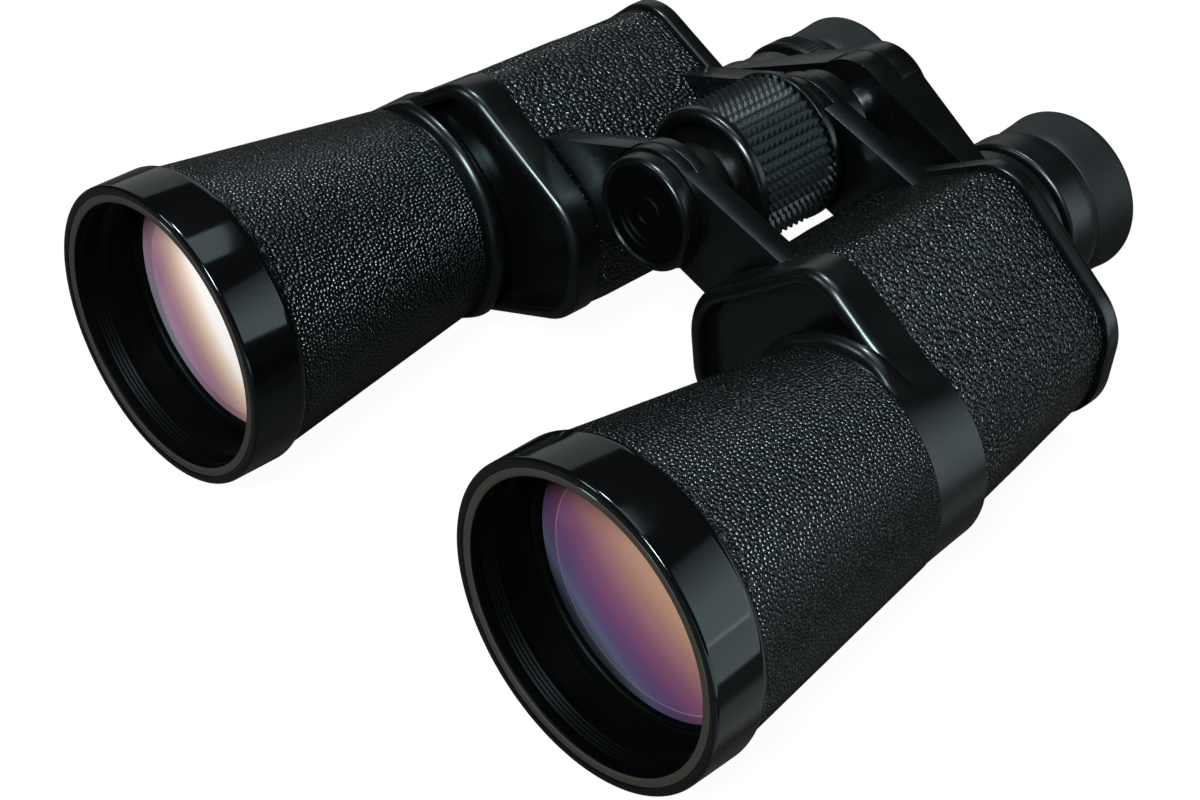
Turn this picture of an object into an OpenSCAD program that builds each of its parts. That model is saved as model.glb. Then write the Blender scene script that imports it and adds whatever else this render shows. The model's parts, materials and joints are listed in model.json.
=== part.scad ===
// Porro-prism binoculars with centre focusing.
// Y runs from the objectives to the eyepieces, Z is up, and the left barrel is on the +X side.
// The modules below draw the left side, with the front rims at y = 0 and the objective
// axes at z = 0. The right side is its mirror image, apart from the dioptre adjustment.

/* [Objectives] */
// Clear diameter of the objective lens
lens_d = 50; // [46:0.5:52]
// Half the distance between the objective axes
obj_x = 57.7; // [56:0.1:62]
// Outer diameter of the front ring
ring_d = 60.7; // [60:0.1:64]
// Length of the front ring
ring_l = 12.2; // [11:0.1:16]
// Width of the rounded front lip
lip_w = 3.6; // [3.2:0.1:3.8]
// Distance from the front rim to the edge of the lens
lens_depth = 15; // [14:0.5:18]
// How far the front ring stands proud of the covered tube behind it
ring_step = 0.95; // [0.6:0.05:1.3]
// Outer radius of the covered tube at the shoulder
tube_rear_r = 22.6; // [21.8:0.1:23]
// Wall of the objective tube
tube_wall = 1.6; // [1.4:0.1:2]

/* [Prism housing] */
// Distance from the front rim to the shoulder of the housing
shoulder_y = 65; // [62:0.5:68]
// Wall of the housing casting
wall = 1.8; // [1.6:0.1:2]
// Thickness of the leatherette
leather_t = 0.8; // [0.5:0.1:1]
// Length of the smooth band behind the shoulder
band_l = 9; // [7:0.5:9.4]
// Depth of the scoop in the shoulder
scoop_depth = 3; // [1:0.1:3.5]
// Width of the lip around the scoop
scoop_lip = 2.2; // [2:0.1:3]
// Radius of the housing's lower outer corner, at the front
obj_lobe_r = 21.4; // [21:0.1:22]
// Radius of the housing's lower outer corner, at the rear
obj_lobe_rear_r = 13; // [12.8:0.1:16]
// Radius of the housing's inner corner, beside the eyepiece axis
eye_lobe_r = 14.6; // [14.4:0.1:15.5]
// Radius of the housing's top corner
top_lobe_r = 10; // [9.5:0.1:11]
// Height of the top corner's centre above the objective axis
top_lobe_z = 22.2; // [21.8:0.1:23.5]
// Thickness of the rear cover
cover_t = 4; // [3:0.1:5]

/* [Prisms] */
// Width of each prism
prism_w = 20.6; // [18:0.1:21]
// Thickness of the prism shelf
shelf_t = 2.5; // [1.5:0.1:2.8]
// Flat ground on each prism's roof edge
prism_flat = 1.2; // [1:0.1:3]
// Free length in the housing beyond each prism's clip
prism_room = 1.7; // [1.5:0.1:3]

/* [Eyepieces] */
// Half the distance between the eyepiece axes
eye_x = 28.85; // [28.4:0.05:30]
// Height of the eyepiece axes above the objective axes
eye_z = 1.8; // [1:0.1:2.2]
// Outer radius of the sliding ocular tube
ocular_r = 11.2; // [10.8:0.1:11.4]
// Outer radius of the ocular's smooth body
ocular_body_r = 16; // [15.4:0.1:16.3]
// Outer radius of the ring in front of the eyecup
eye_ring_r = 16.9; // [16.5:0.1:17.2]
// Length of the ring in front of the eyecup
eye_ring_l = 9; // [8:0.1:12]
// Length of the rubber eyecup
eyecup_l = 11; // [9:0.1:14]
// Outer radius of the eyecup's rim
eyecup_r = 17; // [16.8:0.1:18.5]
// Radius of the lens in the eyepiece
eye_lens_r = 10; // [8:0.1:10.2]
// Distance from the rear cover to the bridge
bridge_gap = 9; // [8.5:0.1:12]
// Thickness of the bridge at the eyepieces
bridge_t = 4.5; // [4:0.1:6]

/* [Hinge and focusing] */
// Height of the hinge axis above the objective axes
hinge_z = 22; // [21.6:0.1:23]
// Radius of the hinge knuckles
knuckle_r = 12; // [11.6:0.1:12.4]
// Outer radius of the hinge tube
hinge_tube_r = 6; // [5.4:0.1:7]
// Radius of the focusing spindle
spindle_r = 4; // [3.4:0.1:4.4]
// Thickness of each pair of hinge arms
arm_t = 5.4; // [5:0.1:6]
// Slope of the top of the hinge arms, in degrees
arm_slope = 18; // [14:0.5:20]
// Outer radius of the focus wheel's rims
wheel_r = 15; // [14.5:0.1:16]
// Length of the focus wheel
wheel_l = 23; // [20:0.5:24]
// Height of the rubber grip's teeth
grip_tooth = 1.1; // [0.6:0.1:1.4]
// Radius of the front hinge cap
cap_r = 11.4; // [10:0.1:11.8]
// Thickness of the front hinge cap
cap_t = 3.5; // [3:0.1:4.5]
// Focusing travel towards the objectives
focus_in = 3.5; // [2:0.1:4]
// Focusing travel away from the objectives
focus_out = 4.5; // [3:0.1:5]
// Dioptre travel each way
dioptre_travel = 1.2; // [0.6:0.1:1.2]

/* [Hidden] */
$fn = 96;

// Clearances: fixed fits, turning or sliding fits, and free gaps between moving bodies
fit = 0.02;
running = 0.05;
free_gap = 0.3;

// Objective
ring_r = ring_d / 2;
lens_r = lens_d / 2;
tube_front_r = ring_r - ring_step;
lip_r = ring_r - lip_w;
lens_edge_r = lens_r + 0.6;
cell_wall = 0.75;
cell_r = lens_edge_r + fit + cell_wall;
crown_edge_t = 2.2;
flint_edge_t = 4.6;
cement_t = 0.1;
lens_ring_t = 1.6;
cell_y = lens_depth - lens_ring_t;
cell_end = lens_depth + crown_edge_t + cement_t + flint_edge_t + fit;
cell_seat_t = 0.8;
front_curve_r = 118;
inner_curve_r = 96;
thread_l = 4;
ring_front_land = 6.5;
tube_end = shoulder_y - 2.3;
spigot_r = tube_rear_r - leather_t - tube_wall - 0.8;

// Prisms: the light passes from the objective axis to the middle axis to the eyepiece axis
obj_axis = [obj_x, 0];
eye_axis = [eye_x, eye_z];
mid_axis = (obj_axis + eye_axis) / 2 + [eye_z, obj_x - eye_x] / 2;
prism_step = norm(mid_axis - obj_axis);
prism_h = prism_step - prism_flat;
shelf_gap = 0.15;
light_hole_r = prism_w / 2 - 0.8;
clip_t = 0.6;
clip_gap = 0.2;
clip_w = 5;
clip_foot = 1.8;
prism_bay = prism_h + clip_gap + clip_t + prism_room;

// Housing: a front wall, two bays of prisms and the shelf between them
front_wall = 6;
cavity_y = shoulder_y + front_wall;
shelf_y = cavity_y + prism_bay;
shelf_end = shelf_y + shelf_t;
housing_end = shelf_end + prism_bay;
cover_y = housing_end;
cover_end = cover_y + cover_t;
band_end = shoulder_y + band_l;
// The housing's outline goes round five lobes, each a centre and a radius, at the front and rear
front_lobes = [
    [obj_x, 0, obj_lobe_r],
    [obj_x + 2.8, 1.5, obj_lobe_r - 1.5],
    [obj_x - 11.9, top_lobe_z, top_lobe_r + 0.3],
    [eye_x + 0.65, eye_z + 3.6, eye_lobe_r + 0.1],
    [eye_x - 2.35, eye_z - 2.3, eye_lobe_r - 3.6]
];
rear_lobes = [
    [obj_x + 0.8, -0.5, obj_lobe_rear_r],
    [obj_x + 3.5, 6, obj_lobe_rear_r - 1.9],
    [obj_x - 12.5, top_lobe_z - 0.3, top_lobe_r - 0.5],
    [eye_x + 0.65, eye_z + 6.2, eye_lobe_r - 0.2],
    [eye_x - 2.35, eye_z - 2.3, eye_lobe_r - 3.6]
];
collar_r = obj_lobe_r + 0.4;
nose = 1.6;
rim_out = 0.8;
cavity_inset = leather_t + wall;
boss_r = 2.2;
boss_l = 8;
screw_r = 0.9;
screw_head_r = 1.9;
screw_head_t = 1.1;

// Hinge
hinge_axis = [0, hinge_z];
front_arm_y = band_end + 0.5;
rear_arm_y = housing_end - arm_t - 0.1;
knuckle_t = (arm_t - free_gap) / 2;
tube_fit_r = hinge_tube_r + fit;
tube_running_r = hinge_tube_r + running;
cap_y = front_arm_y - free_gap - cap_t;
wheel_end = rear_arm_y - 1.8;
wheel_y = wheel_end - wheel_l;
spacer_y = front_arm_y + arm_t + free_gap;
collar_y = housing_end + free_gap;
collar_l = 4.6;
collar_ring_r = knuckle_r - 1.2;
rim_l = 2.4;
wheel_core_r = wheel_r - grip_tooth;

// Bridge
bridge_y = cover_end + bridge_gap;
bridge_end = bridge_y + bridge_t;
boss_y = bridge_y - 1;
boss_half = 5.5;
boss_end = boss_y + 2 * boss_half + free_gap;
bridge_hub_r = 10.2;
bridge_ring_r = ocular_r + 5.5;
bridge_arm_h = 12;
pin_y = wheel_y + 11.4;
pin_r = 1;
pin_half = hinge_tube_r + 1.8;
screw_disc_r = bridge_hub_r - 3.6;
screw_thread_r = 1.5;
screw_thread_l = 8;

// Eyepiece
guide_wall = 1.5;
guide_r = ocular_r + running + guide_wall;
guide_end = bridge_y - focus_in - free_gap;
ocular_y = cover_y + focus_in - 2.7;
ocular_bore_r = ocular_r - 1.8;
body_y = bridge_end;
body_end = body_y + 8.7;
ring_gap = dioptre_travel + free_gap;
eye_ring_y = body_end + 0.1;
eye_ring_end = eye_ring_y + eye_ring_l;
dioptre_y = body_end + ring_gap;
spigot_end = body_end + 4.5;
carrier_r = eye_lens_r + 2.2;
carrier_y = body_y + 4;
carrier_bore_y = carrier_y - dioptre_travel - free_gap;
eye_spigot_r = carrier_r + running + 1.1;
carrier_flange_r = eye_spigot_r + 1.1;
flange_y = spigot_end + dioptre_travel + free_gap;
eyecup_y = eye_ring_end + 0.15;
total_l = eyecup_y + eyecup_l;
field_lens_y = ocular_y + 3;
field_curve_r = 2.3 * ocular_bore_r;
eye_curve_r = 3.4 * eye_lens_r;
eye_lens_y = eye_ring_end - 4;

// Tangents and corners
function lobe_share(y) = max(0, min(1, (y - shoulder_y) / (cover_y - shoulder_y)));
function lobe(i, y) = front_lobes[i] + lobe_share(y) * (rear_lobes[i] - front_lobes[i]);
// Normal of the common tangent of circles a and b, on the left of the way from a to b
function tangent_normal(a, b) =
    let (step = [b[0] - a[0], b[1] - a[1]], l = norm(step), u = step / l, s = (a[2] - b[2]) / l)
    u * s + [-u[1], u[0]] * sqrt(1 - s * s);
// Point halfway along that tangent, moved inwards by depth
function tangent_mid(a, b, depth) =
    let (n = tangent_normal(a, b), m = (a + b) / 2)
    [m[0], m[1]] + n * (m[2] - depth);
function polar(centre, r, angle) = [centre[0] + r * cos(angle), centre[1] + r * sin(angle)];
function arc(centre, r, from, to, steps) =
    [for (i = [0 : steps]) polar(centre, r, from + (to - from) * i / steps)];

// Frame: the origin is under the middle of the part, on the surface that the rings stand on
module place() translate([0, -total_l / 2, ring_r]) children();
module left() place() children();
module right() place() mirror([1, 0, 0]) children();

// A flat outline in X and Z, drawn out along Y
module slab(y0, y1) translate([0, y1, 0]) rotate([90, 0, 0]) linear_extrude(y1 - y0) children();
// A round bar along Y
module bar(axis, r, y0, y1) translate([axis[0], y0, axis[1]]) rotate([-90, 0, 0])
    cylinder(r = r, h = y1 - y0);
// A turned shape about an axis along Y, from radius and y points
module turned(axis, points) translate([axis[0], 0, axis[1]]) rotate([-90, 0, 0])
    rotate_extrude() polygon(points);
module tube(axis, outer, inner, y0, y1) turned(axis,
    [[inner, y0], [outer, y0], [outer, y1], [inner, y1]]);

// The housing's solid form through a list of stations, each a y and an inset from the outline.
// Each corner is the furthest point of the lobes in one of a fixed set of directions.
outline_sides = 80;
function furthest(lobes, n, i) = i == 0 ? 0 :
    let (best = furthest(lobes, n, i - 1), a = lobes[i], b = lobes[best])
    a[0] * n[0] + a[1] * n[1] + a[2] > b[0] * n[0] + b[1] * n[1] + b[2] ? i : best;
function outline_point(y, inset, angle) =
    let (lobes = [for (i = [0 : len(front_lobes) - 1]) lobe(i, y)], n = [cos(angle), sin(angle)],
        l = lobes[furthest(lobes, n, len(lobes) - 1)])
    [l[0] + (l[2] - inset) * n[0], y, l[1] + (l[2] - inset) * n[1]];
function ring_faces(start, sides) = [for (i = [0 : sides - 1]) let (j = (i + 1) % sides)
    each [[start + i, start + j, start + sides + i], [start + j, start + sides + j, start + sides + i]]];

module loft(stations) {
    sides = outline_sides;
    last = (len(stations) - 1) * sides;
    polyhedron(
        [for (s = stations) for (i = [0 : sides - 1])
            outline_point(s[0], s[1], 360 * (i + 0.5) / sides)],
        concat(
            [[for (i = [sides - 1 : -1 : 0]) i]],
            [for (k = [0 : len(stations) - 2]) each ring_faces(k * sides, sides)],
            [[for (i = [0 : sides - 1]) last + i]]
        )
    );
}
module form(y0, y1, inset) loft([
    [y0, inset], if (y0 < shoulder_y && y1 > shoulder_y) [shoulder_y, inset],
    if (y0 < cover_y && y1 > cover_y) [cover_y, inset], [y1, inset]
]);

// ---- hinge arms ----
// One web from the knuckle to the housing: its top is tangent to the knuckle
module arm_web(y0, y1) {
    reach = eye_x + 10;
    web_r = knuckle_r - 0.4;
    top = polar(hinge_axis, web_r, 90 - arm_slope);
    low = polar(hinge_axis, web_r, -62);
    inner = front_lobes[3];
    lobe_left = [inner[0] - inner[2] + 2.5, inner[1] + 2];
    slab(y0, y1) polygon([
        hinge_axis, top, [reach, top[1] - (reach - top[0]) * tan(arm_slope)],
        [reach, lobe_left[1]], lobe_left, low
    ]);
}

// The two barrels' arms share one knuckle: each has a full disc in its own half of the thickness
// and makes way for the other barrel's disc in the other half
module hinge_arm(y0, own_front, bore_r) {
    own_y = own_front ? y0 : y0 + knuckle_t + free_gap;
    other_y = own_front ? y0 + knuckle_t : y0 - 1;
    other_end = own_front ? y0 + arm_t + 1 : y0 + knuckle_t + free_gap;
    color("#141516") difference() {
        union() {
            arm_web(y0, y0 + arm_t);
            bar(hinge_axis, knuckle_r, own_y, own_y + knuckle_t);
        }
        bar(hinge_axis, knuckle_r + free_gap, other_y, other_end);
        bar(hinge_axis, bore_r, y0 - 1, y0 + arm_t + 1);
        inner_form();
    }
}

// ---- housing ----
function boss_points() = [
    polar(lobe(0, housing_end), lobe(0, housing_end)[2] - 4.2, -45),
    polar(lobe(2, housing_end), top_lobe_r - 4.5, 30),
    tangent_mid(lobe(3, housing_end), lobe(2, housing_end), 4),
    tangent_mid(lobe(0, housing_end), lobe(4, housing_end), 3.9)
];

// The casting's outside under the leatherette
module inner_form() form(band_end - 1, housing_end, leather_t);

module housing() {
    color("#141516") difference() {
        union() {
            inner_form();
            loft([[shoulder_y, nose], [shoulder_y + 0.5, nose - 0.9], [shoulder_y + 1.4, nose - 1.4],
                [shoulder_y + 2.8, 0], [band_end, 0]]);
            turned(obj_axis, [
                [spigot_r, tube_end + 0.1], [tube_rear_r - 0.3, tube_end + 0.1],
                [tube_rear_r, tube_end + 0.6], [collar_r, shoulder_y + 0.6],
                [obj_lobe_r - 1.1, cavity_y], [spigot_r, cavity_y]
            ]);
        }
        difference() {
            form(cavity_y, housing_end + 1, cavity_inset);
            for (p = boss_points()) bar(p, boss_r, housing_end - boss_l, housing_end + 2);
        }
        difference() {
            form(shoulder_y - 1, shoulder_y + scoop_depth, scoop_lip);
            bar(obj_axis, collar_r - 0.3, shoulder_y - 3, shoulder_y + 8);
        }
        bar(obj_axis, spigot_r + fit, tube_end - 1, cavity_y + 1);
        bar(eye_axis, ocular_r + free_gap, ocular_y - focus_in - free_gap, housing_end + 1);
        for (p = boss_points()) bar(p, screw_r + fit, housing_end - boss_l + 1, housing_end + 3);
    }
}

module rear_cover() color("#17181a") difference() {
    loft([[cover_y, 0], [cover_y + 0.5, -rim_out], [cover_end - 1.4, -rim_out], [cover_end, 0.6]]);
    bar(eye_axis, guide_r + fit, cover_y - 1, cover_end + 1);
    for (p = boss_points()) {
        bar(p, screw_r + 0.1, cover_y - 1, cover_end + 1);
        bar(p, screw_head_r + 0.1, cover_end - screw_head_t, cover_end + 1);
    }
}

module cover_screws() color("#2b2b2d") for (p = boss_points()) difference() {
    union() {
        bar(p, screw_r, housing_end - boss_l + 2, cover_end - screw_head_t + 0.05);
        bar(p, screw_head_r, cover_end - screw_head_t + 0.02, cover_end - 0.1);
    }
    translate([p[0] - 2.5, cover_end - 0.6, p[1] - 0.25]) cube([5, 1, 0.5]);
}

module body_leatherette() color("#1d1e20") difference() {
    form(band_end, cover_y, 0);
    form(band_end - 1, cover_y + 1, leather_t);
    arm_web(front_arm_y, front_arm_y + arm_t);
    arm_web(rear_arm_y, rear_arm_y + arm_t);
}

// ---- prisms ----
// Draws children in a frame whose X runs from axis a to axis b, with its origin between them
module between(a, b) translate([(a[0] + b[0]) / 2, 0, (a[1] + b[1]) / 2])
    rotate([0, -atan2(b[1] - a[1], b[0] - a[0]), 0]) children();

module porro_prism(a, b, face_y, way) color([0.75, 0.85, 0.88, 0.5]) between(a, b) intersection() {
    half = prism_w / 2;
    translate([0, face_y, -half]) linear_extrude(prism_w) polygon([
        [-prism_step, 0], [prism_step, 0], [prism_flat, way * prism_h], [-prism_flat, way * prism_h]
    ]);
    slab(min(face_y, face_y + way * prism_step), max(face_y, face_y + way * prism_step)) polygon(concat(
        arc([prism_step / 2, 0], half, -90, 90, 16),
        arc([-prism_step / 2, 0], half, 90, 270, 16)
    ));
}

// A bent strap over the prism's roof edge, with a foot at each end on the shelf
module prism_clip(a, b, face_y, way) {
    inner = prism_w / 2 + clip_gap;
    outer = inner + clip_t;
    roof = prism_h + clip_gap;
    between(a, b) translate([-clip_w / 2, face_y, 0]) rotate([0, 90, 0]) linear_extrude(clip_w)
        polygon([
            [-outer - clip_foot, 0.05 * way], [-inner, 0.05 * way], [-inner, roof * way],
            [inner, roof * way], [inner, 0.05 * way], [outer + clip_foot, 0.05 * way],
            [outer + clip_foot, clip_t * way], [outer, clip_t * way],
            [outer, (roof + clip_t) * way], [-outer, (roof + clip_t) * way],
            [-outer, clip_t * way], [-outer - clip_foot, clip_t * way]
        ]);
}

module prism_shelf() color("#3a3b3d") difference() {
    form(shelf_y, shelf_end, cavity_inset + shelf_gap);
    for (axis = [obj_axis, mid_axis, eye_axis])
        bar(axis, light_hole_r, shelf_y - 1, shelf_end + 1);
}

module front_prism() porro_prism(mid_axis, eye_axis, shelf_y, -1);
module rear_prism() porro_prism(obj_axis, mid_axis, shelf_end, 1);
module prism_clips() color("#8a8c90") {
    prism_clip(mid_axis, eye_axis, shelf_y, -1);
    prism_clip(obj_axis, mid_axis, shelf_end, 1);
}

// ---- objective ----
function covered_r(y) = tube_front_r
    + (tube_rear_r - tube_front_r) * (y - ring_l) / (tube_end - ring_l);
function metal_r(y) = covered_r(y) - leather_t;

module objective_tube() {
    thread_r = lip_r + 1.5;
    seat_end = cell_end + cell_seat_t;
    color("#161719") turned(obj_axis, [
        [lip_r + 0.7, ring_l - thread_l], [thread_r, ring_l - thread_l], [thread_r, ring_l + 0.1],
        [metal_r(ring_l + 0.1), ring_l + 0.1], [metal_r(tube_end), tube_end],
        [spigot_r, tube_end], [spigot_r, cavity_y],
        [spigot_r - tube_wall, cavity_y], [spigot_r - tube_wall, tube_end - 3],
        [metal_r(seat_end) - tube_wall, seat_end],
        [cell_r + fit, seat_end], [cell_r + fit, cell_y - 0.4], [lip_r + 0.7, cell_y - 0.8]
    ]);
}

module tube_leatherette() color("#1d1e20") turned(obj_axis, [
    [metal_r(ring_l + 0.2) + fit, ring_l + 0.2], [covered_r(ring_l + 0.2), ring_l + 0.2],
    [covered_r(tube_end - 0.4), tube_end - 0.4], [metal_r(tube_end - 0.4) + fit, tube_end - 0.4]
]);

module front_ring() {
    nose_r = 1.45;
    thread_r = lip_r + 1.5;
    color("#0c0c0d") turned(obj_axis, concat(
        arc([lip_r + nose_r, nose_r], nose_r, 180, 270, 6),
        arc([ring_r - nose_r, nose_r], nose_r, 270, 360, 6),
        [
            [ring_r, ring_front_land], [covered_r(ring_l) + 0.35, ring_l - 0.3],
            [covered_r(ring_l) + 0.05, ring_l], [thread_r + fit, ring_l],
            [thread_r + fit, ring_l - thread_l - 0.1], [lip_r, ring_l - thread_l - 0.1]
        ]
    ));
}

module objective_cell() color("#1a1a1b") turned(obj_axis, [
    [lens_edge_r + fit, cell_y + 0.1], [cell_r, cell_y + 0.1], [cell_r, cell_end + cell_seat_t - 0.05],
    [lens_r - 0.4, cell_end + cell_seat_t - 0.05], [lens_r - 0.4, cell_end], [lens_edge_r + fit, cell_end]
]);

module lens_ring() color("#101011") turned(obj_axis, [
    [lens_r, cell_y + 0.4], [lens_r + 0.3, cell_y], [lens_edge_r - 0.02, cell_y],
    [lens_edge_r - 0.02, lens_depth - fit], [lens_r, lens_depth - 0.2]
]);

// Height of a spherical surface above its edge, at radius r
function sag(curve_r, edge_r, r) =
    sqrt(curve_r * curve_r - r * r) - sqrt(curve_r * curve_r - edge_r * edge_r);
function dome(curve_r, edge_r, y, way, steps) = [for (i = [0 : steps])
    let (r = edge_r * i / steps) [r, y + way * sag(curve_r, edge_r, r)]];
function reversed(list) = [for (i = [len(list) - 1 : -1 : 0]) list[i]];

module crown_lens() color([0.45, 0.3, 0.5, 0.5]) turned(obj_axis, concat(
    dome(front_curve_r, lens_edge_r, lens_depth, -1, 10),
    reversed(dome(inner_curve_r, lens_edge_r, lens_depth + crown_edge_t, 1, 10))
));

module flint_lens() color([0.4, 0.35, 0.5, 0.5]) turned(obj_axis, concat(
    dome(inner_curve_r, lens_edge_r, lens_depth + crown_edge_t + cement_t, 1, 10),
    [[lens_edge_r, cell_end - fit], [lens_r - 0.6, cell_end - fit], [0, cell_end + 1.2]]
));

// ---- eyepiece ----
module eyepiece_guide() color("#1a1b1c") turned(eye_axis, [
    [ocular_r + running, cover_y + 0.05], [guide_r, cover_y + 0.05],
    [guide_r, guide_end], [ocular_r + running, guide_end]
]);

module ocular_tube() color("#17181a") turned(eye_axis, [
    [ocular_bore_r, ocular_y], [ocular_r, ocular_y], [ocular_r, body_y + fit],
    [ocular_body_r, body_y + fit], [ocular_body_r, body_end], [eye_spigot_r, body_end],
    [eye_spigot_r, spigot_end], [carrier_r + running, spigot_end],
    [carrier_r + running, carrier_bore_y], [ocular_bore_r, carrier_bore_y]
]);

module field_lens() {
    r = ocular_bore_r - fit;
    color([0.5, 0.5, 0.6, 0.5]) turned(eye_axis, concat(
        [[0, field_lens_y]], [[r, field_lens_y]],
        reversed(dome(field_curve_r, r, field_lens_y + 1.2, 1, 8))
    ));
}

module lens_carrier() color("#1a1b1c") turned(eye_axis, [
    [eye_lens_r - 1.4, carrier_y], [carrier_r, carrier_y], [carrier_r, flange_y],
    [carrier_flange_r, flange_y], [carrier_flange_r, eye_ring_end],
    [eye_lens_r + fit, eye_ring_end], [eye_lens_r + fit, eye_lens_y - 1.2],
    [eye_lens_r - 1.4, eye_lens_y - 1.2]
]);

module eye_lens() color([0.4, 0.35, 0.5, 0.5]) turned(eye_axis, concat(
    [[0, eye_lens_y - 1.1], [eye_lens_r, eye_lens_y - 1.1]],
    reversed(dome(eye_curve_r, eye_lens_r, eye_lens_y + 1.6, 1, 8))
));

function ring_outline(y0, bore) = [
    [eye_spigot_r + bore, y0 + 0.3], [eye_ring_r - 0.5, y0], [eye_ring_r, y0 + 0.5],
    [eye_ring_r, eye_ring_end - 2.6], [eye_ring_r - 0.8, eye_ring_end],
    [carrier_flange_r + bore, eye_ring_end], [carrier_flange_r + bore, flange_y - 0.1],
    [eye_spigot_r + bore, flange_y - 0.1]
];

module left_ring() color("#1b1c1e") turned(eye_axis, ring_outline(eye_ring_y, fit));

// Fine ribs run along the outside of the dioptre ring
module ribbed_ring() {
    ribs = 96;
    rib_depth = 0.45;
    color("#1b1c1e") difference() {
        turned(eye_axis, ring_outline(dioptre_y, running));
        difference() {
            tube(eye_axis, eye_ring_r + 1, eye_ring_r - rib_depth, dioptre_y + 0.8, eye_ring_end - 2.8);
            slab(dioptre_y, eye_ring_end) translate(eye_axis) polygon([for (i = [0 : 2 * ribs - 1])
                polar([0, 0], eye_ring_r + (i % 2 == 0 ? 0.3 : -rib_depth), 180 * i / ribs)]);
        }
    }
}

module eyecup() {
    edge_r = 0.8;
    neck_r = eye_ring_r - 0.9;
    bowl_r = 11.8;
    color("#222324") turned(eye_axis, concat(
        [[eye_lens_r - 0.4, eyecup_y], [neck_r, eyecup_y], [neck_r + 0.5, eyecup_y + 1.6],
            [eyecup_r - 0.35, total_l - 4.2], [eyecup_r, total_l - 3.4]],
        arc([eyecup_r - edge_r, total_l - edge_r], edge_r, 0, 90, 5),
        arc([eyecup_r - 2.4, total_l - edge_r], edge_r, 90, 180, 5),
        [[bowl_r + 1.2, eyecup_y + 3.4], [bowl_r, eyecup_y + 2.4], [eye_lens_r - 0.4, eyecup_y + 1.6]]
    ));
}

// ---- bridge that carries the eyepieces ----
module bridge_arm(own_front) {
    hub = [hinge_axis[0], hinge_axis[1], bridge_hub_r];
    ring = [eye_axis[0], eye_axis[1], bridge_ring_r];
    normal = tangent_normal(hub, ring);
    reach = norm(eye_axis - hinge_axis);
    own_y = own_front ? boss_y : boss_y + boss_half + free_gap;
    other_y = own_front ? boss_y + boss_half : boss_y - 1;
    other_end = own_front ? boss_end + 1 : boss_y + boss_half + free_gap;
    color("#141516") difference() {
        union() {
            difference() {
                translate([hinge_axis[0], 0, hinge_axis[1]]) rotate([0, atan2(normal[0], normal[1]), 0])
                    translate([0, 0, bridge_hub_r - 0.4 - bridge_arm_h]) linear_extrude(bridge_arm_h) polygon([
                        [0, boss_y], [reach - 4, bridge_y], [reach - 4, bridge_end], [0, boss_end]
                    ]);
                bar(hinge_axis, bridge_hub_r + free_gap, other_y, other_end);
            }
            bar(hinge_axis, bridge_hub_r, own_y, own_y + boss_half);
            bar(eye_axis, bridge_ring_r, bridge_y, bridge_end);
        }
        bar(hinge_axis, spindle_r + (own_front ? fit : running), boss_y - 1, boss_end + 1);
        bar(eye_axis, ocular_r + fit, bridge_y - 1, bridge_end + 1);
        bar(eye_axis, ocular_body_r + free_gap, bridge_end, boss_end + 2);
    }
}

// ---- hinge and focusing ----
module hinge_tube() {
    slot_y = pin_y - focus_in - pin_r - 0.2;
    slot_end = pin_y + focus_out + pin_r + 0.2;
    color("#6e7074") place() difference() {
        tube(hinge_axis, hinge_tube_r, spindle_r + running, cap_y + 1.2, collar_y + collar_l);
        translate([-pin_half - 1, slot_y, hinge_z - pin_r - 0.1])
            cube([2 * pin_half + 2, slot_end - slot_y, 2 * pin_r + 0.2]);
    }
}

module tension_nut() color("#6e7074") place()
    tube(hinge_axis, cap_r - 2.4, hinge_tube_r + fit, cap_y + 1.4, front_arm_y - 0.05);

module hinge_cap() color("#0f1011") place() turned(hinge_axis, [
    [0, cap_y + 0.9], [4.6, cap_y + 0.9], [5.2, cap_y + 0.3], [cap_r - 1.3, cap_y + 0.3],
    [cap_r - 1, cap_y], [cap_r - 0.6, cap_y],
    [cap_r, cap_y + 0.6], [cap_r, front_arm_y - free_gap], [cap_r - 1.6, front_arm_y - free_gap],
    [cap_r - 1.6, cap_y + 1.2], [0, cap_y + 1.2]
]);

module wheel_spacer() color("#1a1b1c") place()
    tube(hinge_axis, hinge_tube_r + 2.6, hinge_tube_r + fit, spacer_y, wheel_y - free_gap);

module hinge_collar() color("#141516") place() turned(hinge_axis, [
    [hinge_tube_r + fit, collar_y], [collar_ring_r, collar_y], [collar_ring_r, collar_y + collar_l - 1.2],
    [collar_ring_r - 1.2, collar_y + collar_l], [hinge_tube_r + fit, collar_y + collar_l]
]);

module focus_wheel() {
    groove_r = pin_half + free_gap;
    groove_y = pin_y - focus_in - pin_r - free_gap;
    groove_end = pin_y + focus_out + pin_r + free_gap;
    color("#101112") place() turned(hinge_axis, [
        [hinge_tube_r + running, wheel_y + 1.6], [wheel_r - 3.4, wheel_y + 1.6],
        [wheel_r - 2.2, wheel_y], [wheel_r - 0.6, wheel_y], [wheel_r, wheel_y + 0.8],
        [wheel_r, wheel_y + rim_l], [wheel_core_r - 0.8, wheel_y + rim_l],
        [wheel_core_r - 0.8, wheel_end - rim_l], [wheel_r, wheel_end - rim_l],
        [wheel_r, wheel_end - 0.8], [wheel_r - 0.6, wheel_end],
        [hinge_tube_r + running, wheel_end], [hinge_tube_r + running, groove_end],
        [groove_r, groove_end], [groove_r, groove_y], [hinge_tube_r + running, groove_y]
    ]);
}

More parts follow.
